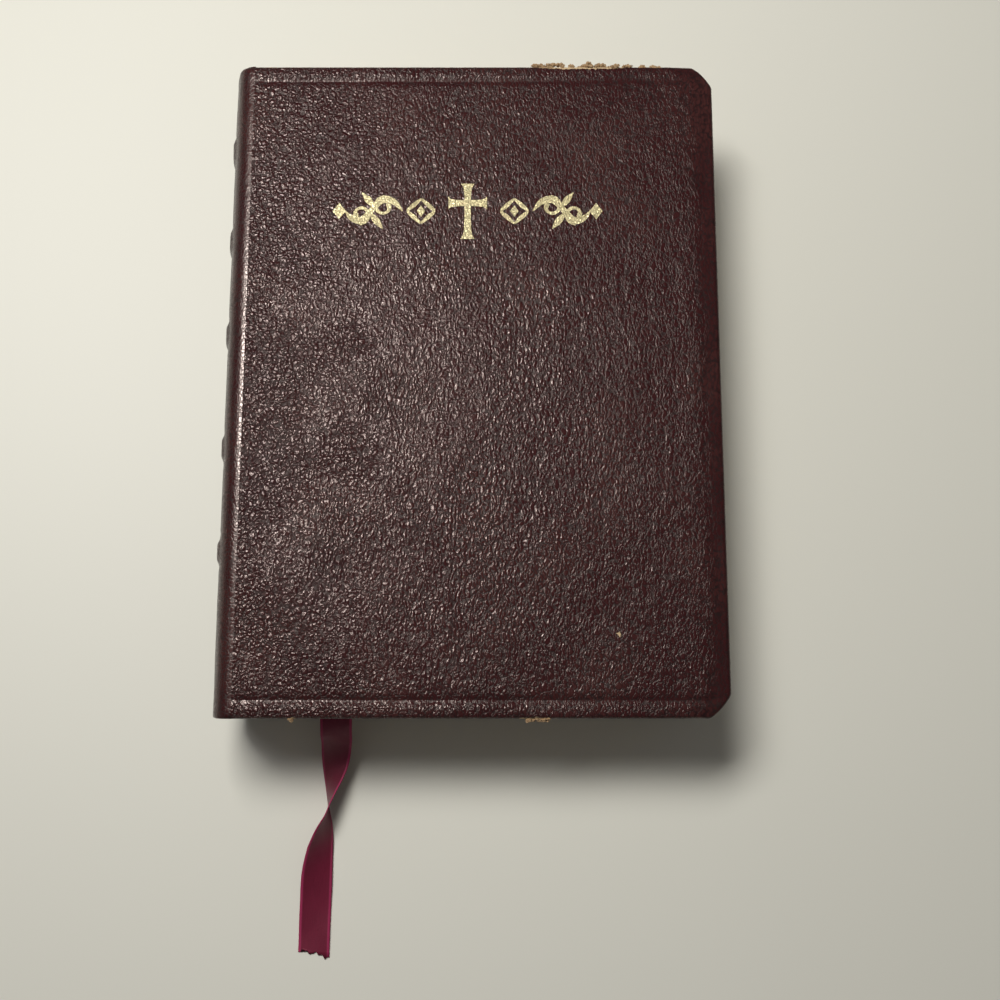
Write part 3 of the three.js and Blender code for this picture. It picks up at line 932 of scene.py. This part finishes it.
def evenSteps(places, samples=400):
    # the curve's length, and the values along it that are evenly spaced
    rough = [through(places, k / samples) for k in range(samples + 1)]
    total = [0.0]
    for a, b in zip(rough, rough[1:]):
        total.append(total[-1] + (b - a).length)
    length = total[-1]
    count = int(length / mm / ribbonLook["alongStep"])
    travelled, stations = 0, [0.0]
    for k in range(1, count + 1):
        goal = length * k / count
        while total[min(samples, travelled + 1)] < goal and travelled < samples - 1:
            travelled += 1
        span = total[travelled + 1] - total[travelled]
        stations.append((travelled + (goal - total[travelled]) / span) / samples)
    return length, [min(1.0, t) for t in stations]


def ribbonStrip(name, route, replaced, frayed):
    places = [Vector((x + shift, y, z)) * mm for (x, y, z), *_ in route]
    sides = [Vector(step[1]) for step in route]
    widths = [Vector((step[2] if len(step) > 2 else ribbonLook["width"], 0, 0)) for step in route]
    length, stations = evenSteps(places)
    centre = [through(places, t) for t in stations]
    wide, count = ribbonLook["across"], len(stations) - 1
    shreds = random.Random(11)
    tips = [shreds.uniform(-0.9, 0.7) for _ in range(wide + 1)]
    vertices, weave = [], []
    for layer in (0, 1):
        for i, t in enumerate(stations):
            side = through(sides, t).normalized()
            along = (centre[min(i + 1, count)] - centre[max(i - 1, 0)]).normalized()
            up = along.cross(side).normalized()
            run = length / mm * i / count
            half = through(widths, t).x / 2
            for k in range(wide + 1):
                u = 2 * k / wide - 1
                spot = centre[i] + side * (u * half * mm)
                edge = smooth(0.80, 0.93, abs(u))
                wave = ribbonLook["cup"] * math.sin(run * 0.55 + 1.3 * u) * abs(u) * smooth(4, 12, run)
                thick = ribbonLook["thick"] * (0.36 + 0.20 * edge)
                lift = (wave if frayed else 0) + (thick if layer else -thick)
                spot = spot + up * (lift * mm)
                if frayed and i == count:
                    spot = spot + along * ((tips[k] - 0.9 * u) * mm)
                if frayed:
                    # the free end lies on the table and doesn't sink into it
                    spot.z = max(spot.z, (0.03 + (0.16 if layer != (up.z < 0) else 0)) * mm)
                vertices.append(spot)
                weave.append(((u + 1) * ribbonLook["width"] / 2, run))
    piece = newPiece(name, vertices, shellFaces(count + 1, wide + 1), finishes["ribbon"],
                     "text_block", [replaced])
    recalc(piece)
    layerUv = piece.data.uv_layers.new(name="weave")
    corners = [value for loop in piece.data.loops for value in weave[loop.vertex_index]]
    layerUv.data.foreach_set("uv", corners)
    return piece, centre, length


ribbonStrip("ribbonInner", innerRoute, "ribbon_marker", False)
ribbonTail, tailLine, tailLength = ribbonStrip("ribbonTail", tailRoute, "ribbon_tail", True)
print("ribbon made, free end", round(tailLength, 4), "m")


# Worn head edge: torn leather and card fibres
def fibreMaker():
    maker = Maker("tornEdge", [("Density", "NodeSocketInt"), ("Small", "NodeSocketFloat"),
                               ("Large", "NodeSocketFloat"), ("Seed", "NodeSocketInt")])
    crumb = maker.node("GeometryNodeMeshIcoSphere", None, {"Radius": 1.0, "Subdivisions": 2})
    where = maker.node("GeometryNodeInputPosition")
    rough = maker.node("ShaderNodeTexNoise", {"noise_dimensions": "4D"},
                       {"Vector": where.outputs[0], "Scale": 1.7})
    centred = maker.node("ShaderNodeVectorMath", {"operation": "SUBTRACT"},
                         {0: rough.outputs["Color"], 1: (0.5, 0.5, 0.5)})
    wide = maker.node("ShaderNodeVectorMath", {"operation": "SCALE"},
                      {0: centred.outputs[0], "Scale": 1.6})
    torn = maker.node("GeometryNodeSetPosition", None,
                      {"Geometry": crumb.outputs["Mesh"], "Offset": wide.outputs[0]})
    points = maker.node("GeometryNodeDistributePointsOnFaces", {"distribute_method": "RANDOM"},
                        {"Mesh": maker.given("Geometry"), "Density": maker.given("Density"),
                         "Seed": maker.given("Seed")})
    size = maker.node("FunctionNodeRandomValue", {"data_type": "FLOAT_VECTOR"},
                      {"Seed": maker.given("Seed"), "Min": maker.given("Small"), "Max": maker.given("Large")})
    turn = maker.node("FunctionNodeRandomValue", {"data_type": "FLOAT_VECTOR"},
                      {"Min": (0, 0, 0), "Max": (6.28, 6.28, 6.28), "Seed": 5})
    placed = maker.node("GeometryNodeInstanceOnPoints", None,
                        {"Points": points.outputs["Points"], "Instance": torn.outputs[0],
                         "Rotation": turn.outputs[0], "Scale": size.outputs[0]})
    maker.finish(maker.coated(maker.real(placed.outputs[0]), "torn"))
    return maker


def tornEdge():
    look = {"density": 11000000, "small": 0.09, "large": 0.50}  # scraps per square metre, and their sizes
    shreds = random.Random(21)
    # from x, to x, y, reach and depth below the face, in millimetres
    runs = [(-36.6, -35.9, -73.3, 0.35, 1.0), (12.9, 17.3, -73.2, 0.3, 0.9)]
    for low, high, count in ((14.2, 36.7, 34), (38.7, 40.0, 3), (41.3, 43.1, 4)):
        for _ in range(count):
            x = shreds.uniform(low, high)
            bulge = smooth(low - 2, 24, x) * smooth(high + 2, 28, x)
            runs.append((x - shreds.uniform(0.25, 0.9), x + shreds.uniform(0.25, 0.9),
                         73.0 + shreds.uniform(-0.25, 0.35 + 0.55 * bulge), shreds.uniform(0.12, 0.42),
                         shreds.uniform(0.15, 1.3)))
    vertices, faces = [], []
    for x0, x1, y, reach, below in runs:
        start = len(vertices)
        z = bookTop - below * mm
        side = 1 if y > 0 else -1
        for x, dy, dz in ((x0, -reach, 0.25), (x1, -reach, 0.25), (x1, reach, -0.25), (x0, reach, -0.25)):
            vertices.append((x * mm, (y + side * dy) * mm, z + dz * mm))
        faces.append((start, start + 1, start + 2, start + 3))
    seed = newPiece("tornPlace", vertices, faces, finishes["torn"])
    piece = fibreMaker().apply(seed, "tornFibres", {
        "Density": look["density"], "Small": look["small"] * mm, "Large": look["large"] * mm, "Seed": 8})
    settle(piece, "front_cover", [])
    print("torn fibres:", len(piece.data.polygons), "faces")


tornEdge()


# Gold stamping: a cross between lozenges, scrolls and dots, laid over the leather's surface
def stroke(points, widths, count=40):
    line = [Vector((x, y, 0)) for x, y in points]
    sizes = [Vector((width, 0, 0)) for width in widths]
    return [(through(line, k / count), through(sizes, k / count).x) for k in range(count + 1)]


def spiral(x, y, radius, start, sweep, widths, shrink=0.62, steps=9):
    points = []
    for k in range(steps):
        t = k / (steps - 1)
        angle = math.radians(start + sweep * t)
        reach = radius * (1 - shrink * t)
        points.append((x + reach * math.cos(angle), y + reach * math.sin(angle)))
    return stroke(points, widths)


def stamp(name, strokes, replaced):
    vertices, faces = [], []
    for level, line in enumerate(strokes):
        for i, (spot, half) in enumerate(line):
            ahead, behind = line[min(i + 1, len(line) - 1)][0], line[max(i - 1, 0)][0]
            along = (ahead - behind).normalized()
            across = Vector((-along.y, along.x, 0))
            for top in (0, 1):
                for u in (-1, -0.35, 0.35, 1):
                    x = (spot.x + across.x * u * half) * mm
                    y = (ornamentY + spot.y + across.y * u * half) * mm
                    z = bookTop + outerRise(x, y, 1) + (0.035 + 0.012 * level if top else -0.25) * mm
                    vertices.append((x, y, z))
        start = len(vertices) - 8 * len(line)
        for i in range(len(line) - 1):
            a, b = start + 8 * i, start + 8 * (i + 1)
            for k in range(3):
                faces.append((a + k, a + k + 1, b + k + 1, b + k))
                faces.append((a + 4 + k, b + 4 + k, b + 5 + k, a + 5 + k))
            faces.append((a, b, b + 4, a + 4))
            faces.append((a + 3, a + 7, b + 7, b + 3))
        for end in (start, start + 8 * (len(line) - 1)):
            for k in range(3):
                faces.append((end + k, end + 4 + k, end + 5 + k, end + k + 1))
    piece = newPiece(name, vertices, faces, finishes["foil"])
    recalc(piece)
    piece.data.set_sharp_from_angle(angle=math.radians(40))
    settle(piece, "front_cover", [replaced])


def mirrored(lines):
    return [[(Vector((-spot.x, spot.y, 0)), half) for spot, half in line] for line in lines]


ornamentY = 38.0
flare = (1.55, 0.95, 0.72, 0.72, 0.95, 1.55)
curl = (0.55, 0.5, 0.45, 0.4, 0.35, 0.35, 0.4, 0.55, 0.3)
stamp("foilCross", [
    stroke([(0, 6.5), (0, 5.4), (0, 3.0), (0, -2.5), (0, -5.2), (0, -6.5)], flare),
    stroke([(-4.3, 1.9), (-3.6, 1.9), (-1.6, 1.9), (1.6, 1.9), (3.6, 1.9), (4.3, 1.9)], flare),
], "foil_cross")
lozenge = [
    stroke([(10.4, 2.9), (12.0, 1.4), (13.3, 0), (12.0, -1.4), (10.4, -2.9)], (0.22, 0.5, 0.3, 0.5, 0.22)),
    stroke([(10.4, 2.9), (8.8, 1.4), (7.5, 0), (8.8, -1.4), (10.4, -2.9)], (0.22, 0.5, 0.3, 0.5, 0.22)),
    stroke([(10.4, y) for y in (1.3, 0.6, 0, -0.6, -1.3)], (0.05, 0.5, 0.9, 0.5, 0.05)),
]
scroll = [
    stroke([(14.5, 0), (16.6, 2.3), (19.2, 2.6), (21.4, 0.2), (23.6, -2.2), (26.0, -1.5), (27.2, 0)],
           (0.12, 0.72, 0.85, 0.62, 0.85, 0.6, 0.12)),
    spiral(18.6, 1.0, 2.3, 95, -330, curl),
    spiral(23.9, -0.7, 2.2, -85, -330, curl),
    stroke([(20.9, 1.0), (22.2, 2.7), (23.6, 4.4)], (0.3, 0.75, 0.06)),
    stroke([(21.6, -0.6), (20.2, -2.4), (18.8, -4.2)], (0.3, 0.75, 0.06)),
]
dot = [stroke([(28.6, y) for y in (1.9, 0.9, 0, -0.9, -1.9)], (0.05, 0.75, 1.4, 0.75, 0.05))]
for word, shape in (("lozenge", lozenge), ("rule", scroll), ("dot", dot)):
    stamp(f"foil{word.title()}Right", shape, f"foil_{word}_right")
    stamp(f"foil{word.title()}Left", mirrored(shape), f"foil_{word}_left")
print("gold stamping made")


# Finishes of the CAD pieces that stay
kept = {
    "front_cover_board": "board", "back_cover_board": "board", "spine_stiffener": "board",
    "spine_lining": "lining", "spine_gauze": "gauze", "front_pastedown": "endpaper",
    "back_pastedown": "endpaper", "front_flyleaf": "endpaper", "back_flyleaf": "endpaper",
}
for node, piece in frame["nodes"].items():
    wanted = kept.get(node)
    if node.startswith("sewing_thread"):
        wanted = "thread"
    if node.startswith("raised_band"):
        wanted = "board"
    if wanted:
        piece.data.materials.clear()
        piece.data.materials.append(finishes[wanted])


# Floor and light
def floor(half):
    corners = [(-half, -half, 0.0), (half, -half, 0.0), (half, half, 0.0), (-half, half, 0.0)]
    newPiece("floor", corners, [(0, 1, 2, 3)], floorFinish("paleFloor"), smoothFaces=False)


floor(4.0)

lights = [  # name, place, aim, size, watts, colour
    ("key", (-0.120, 0.205, 0.50), (0.0, 0.0, 0.0), (0.24, 0.15), 3.3, (1.0, 0.99, 0.935)),
    ("sheen", (-0.250, 0.145, 0.50), (-0.02, 0.0, 0.0), (0.12, 0.12), 3.9, (1.0, 0.98, 0.95)),
]
for name, place, aim, size, watts, colour in lights:
    lamp = bpy.data.lights.new(name, "AREA")
    lamp.shape = "RECTANGLE"
    lamp.size, lamp.size_y = size
    lamp.energy = watts
    lamp.color = colour
    holder = bpy.data.objects.new(name, lamp)
    holder.location = place
    holder.rotation_euler = (Vector(aim) - Vector(place)).to_track_quat("-Z", "Y").to_euler()
    holder.visible_diffuse = name != "sheen"
    holder.visible_glossy = name != "key"
    bpy.context.scene.collection.objects.link(holder)

world = bpy.data.worlds.new("studio")
world.use_nodes = True
world.node_tree.nodes["Background"].inputs[0].default_value = (0.95, 0.93, 0.90, 1)
world.node_tree.nodes["Background"].inputs[1].default_value = 0.13
bpy.context.scene.world = world
bpy.context.scene.view_settings.view_transform = "Standard"
bpy.context.scene.view_settings.look = "None"
print("light and floor made")
